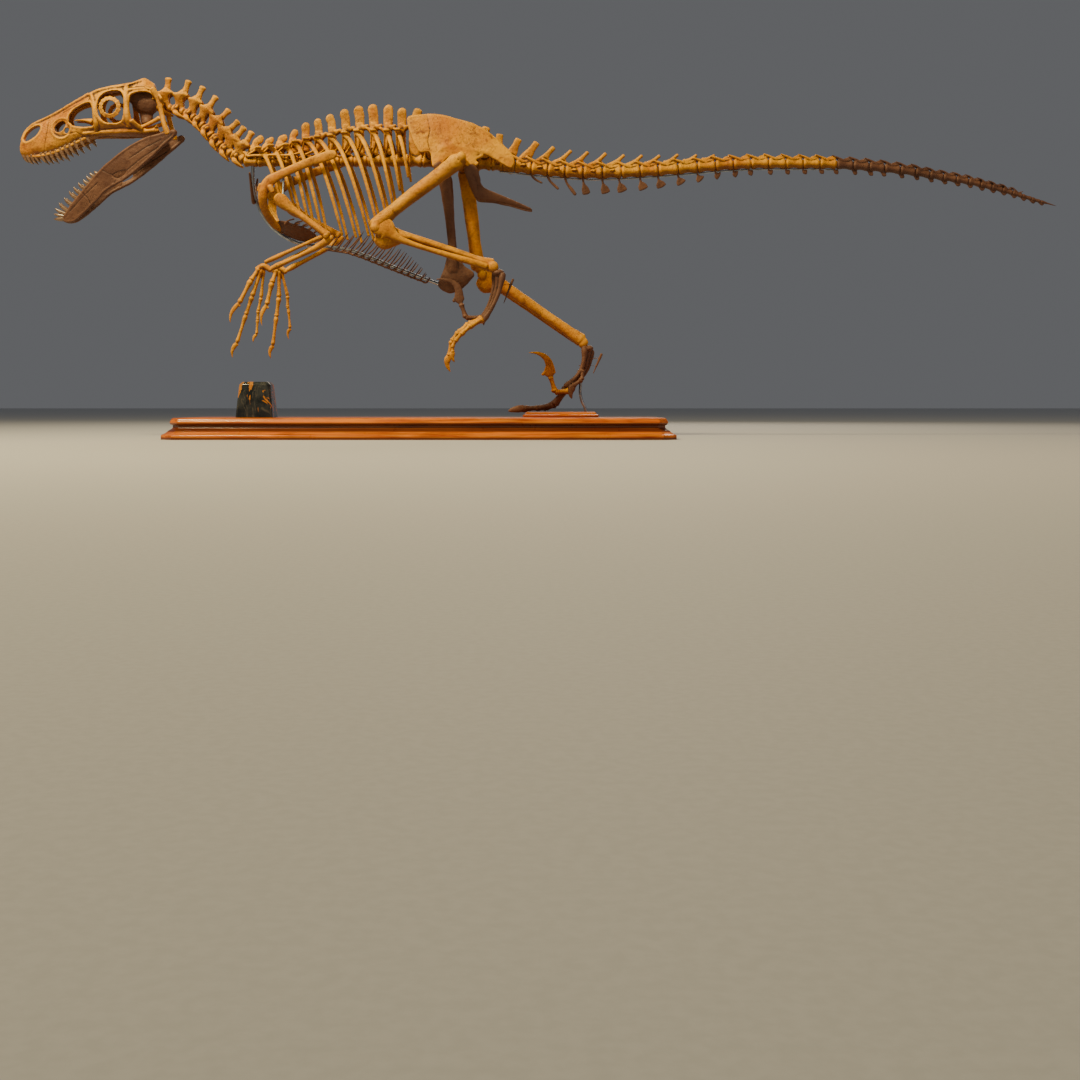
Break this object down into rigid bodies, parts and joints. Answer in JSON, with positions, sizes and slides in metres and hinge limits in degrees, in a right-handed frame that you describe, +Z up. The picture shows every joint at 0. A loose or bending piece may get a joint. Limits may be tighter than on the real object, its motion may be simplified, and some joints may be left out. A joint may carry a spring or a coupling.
{
  "type": "mounted dinosaur skeleton",
  "caption": "Mounted skeleton of a small sickle-clawed dinosaur, jaws open, striding on one foot with its tail held out level, on a stepped wooden base.",
  "frame": {"origin": "middle of the underside of the wooden base", "axes": "+Z up, +X towards the tip of the tail, -Y the animal's left side"},
  "size_m": [3.108, 0.5, 1.079],
  "materials": {
    "bone": "satin golden tan bone with darker mottling",
    "dark_bone": "satin brown bone with grey mottling",
    "wood": "glossy varnished red-brown wood",
    "stone": "polished dark stone with brown veins",
    "steel": "bent and welded steel rod"
  },
  "bodies": {
    "root": {"skull": "bone", "neck": "bone", "rib_cage_left": "bone", "rib_cage_right": "bone", "sacrum": "bone", "ilium_left": "bone", "ilium_right": "bone", "tail_1": "bone", "tail_2": "bone", "scapula_left": "bone", "scapula_right": "bone", "humerus_left": "bone", "humerus_right": "bone", "radius_left": "bone", "radius_right": "bone", "ulna_left": "bone", "ulna_right": "bone", "hand_left": "bone", "hand_right": "bone", "femur_left": "bone", "femur_right": "bone", "tibia_left": "bone", "tibia_right": "bone", "fibula_left": "bone", "fibula_right": "bone", "sclerotic_ring_left": "bone", "sclerotic_ring_right": "bone", "mandible_left": "dark_bone", "mandible_right": "dark_bone", "tail_3": "dark_bone", "tail_4": "dark_bone", "furcula": "dark_bone", "sternum": "dark_bone", "gastralia": "dark_bone", "pubis": "dark_bone", "ischium_left": "dark_bone", "ischium_right": "dark_bone", "metatarsus_left": "dark_bone", "metatarsus_right": "dark_bone", "toe_2_left": "dark_bone", "toe_3_left": "dark_bone", "toe_4_left": "dark_bone", "toe_2_right": "dark_bone", "toe_3_right": "dark_bone", "toe_4_right": "dark_bone", "stand_base": "wood", "stand_plinth": "wood", "stand_block": "stone", "stand_rod_belly": "steel", "stand_rod_foot": "steel", "stand_rod_shoulder_left": "steel", "stand_rod_shoulder_right": "steel", "stand_rod_tail": "steel"}
  },
  "joints": []
}
